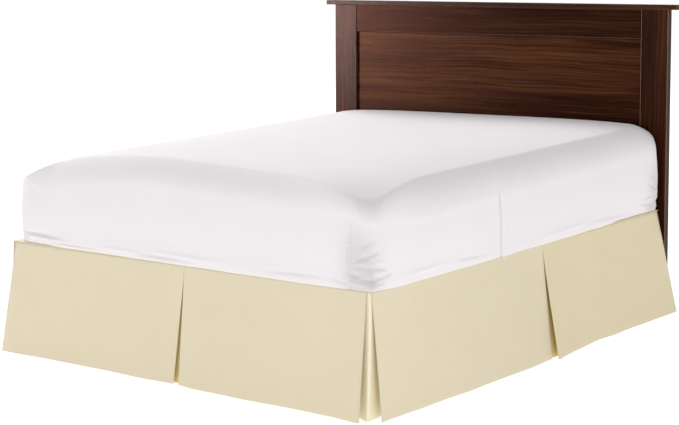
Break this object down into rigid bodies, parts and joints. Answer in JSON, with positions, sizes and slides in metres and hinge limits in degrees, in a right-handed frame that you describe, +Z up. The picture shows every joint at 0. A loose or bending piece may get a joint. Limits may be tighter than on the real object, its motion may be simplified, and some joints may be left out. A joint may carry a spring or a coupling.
{
  "type": "bed skirt on a bed",
  "caption": "Plain cloth skirt with inverted pleats that hangs to the floor round a bed, shown with its mattress, base and panelled wooden headboard.",
  "frame": {"origin": "middle of the whole part's box, on the floor", "axes": "+Z up, +Y towards the headboard, +X to the right of a person who looks from the foot of the bed to its head"},
  "size_m": [1.6854, 1.9957, 1.1675],
  "materials": {
    "skirt_cotton": "ivory cotton, plain weave",
    "white_sheet": "white cotton sheet",
    "base_cloth": "pale upholstery cloth",
    "leg_wood": "dark stained wood",
    "dark_walnut": "dark walnut, satin lacquer"
  },
  "bodies": {
    "root": {"deck": "skirt_cotton", "foot_drop": "skirt_cotton", "side_drop_right": "skirt_cotton", "side_drop_left": "skirt_cotton", "corner_underlay_right": "skirt_cotton", "corner_underlay_left": "skirt_cotton", "mattress": "white_sheet", "base": "base_cloth", "leg_left_1": "leg_wood", "leg_left_2": "leg_wood", "leg_left_3": "leg_wood", "leg_right_1": "leg_wood", "leg_right_2": "leg_wood", "leg_right_3": "leg_wood", "headboard_post_left": "dark_walnut", "headboard_post_right": "dark_walnut", "headboard_cap": "dark_walnut", "headboard_top_rail": "dark_walnut", "headboard_panel": "dark_walnut", "headboard_low_rail": "dark_walnut"}
  },
  "joints": []
}
